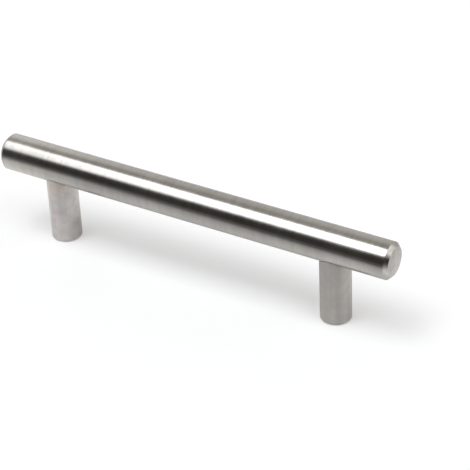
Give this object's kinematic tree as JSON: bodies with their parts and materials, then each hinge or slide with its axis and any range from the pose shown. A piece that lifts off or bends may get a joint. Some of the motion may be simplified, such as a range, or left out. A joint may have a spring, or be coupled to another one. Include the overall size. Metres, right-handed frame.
{
  "type": "tubular cabinet pull",
  "caption": "Straight tubular cabinet pull: a plugged round steel tube across turned posts with coped tops and a tapped screw hole in each foot.",
  "frame": {"origin": "on the door's face, midway between the axes of the two posts, which is the bottom centre of the bounding box", "axes": "+X along the bar, +Y across the bar, +Z away from the door, so the pull stands on its two feet"},
  "size_m": [0.14, 0.012, 0.033],
  "materials": {
    "brushed_tube": "brushed around the bar, warm neutral satin",
    "turned_plug": "fine turned rings, satin",
    "satin_post": "blasted satin with faint lengthwise streaks",
    "plated_stud": "bright zinc plating",
    "plain_insert": "as turned"
  },
  "bodies": {
    "root": {"bar_tube": "brushed_tube", "end_plug_left": "turned_plug", "end_plug_right": "turned_plug", "post_left": "satin_post", "post_right": "satin_post", "joining_stud_left": "plated_stud", "joining_stud_right": "plated_stud", "threaded_insert_left": "plain_insert", "threaded_insert_right": "plain_insert"}
  },
  "joints": []
}
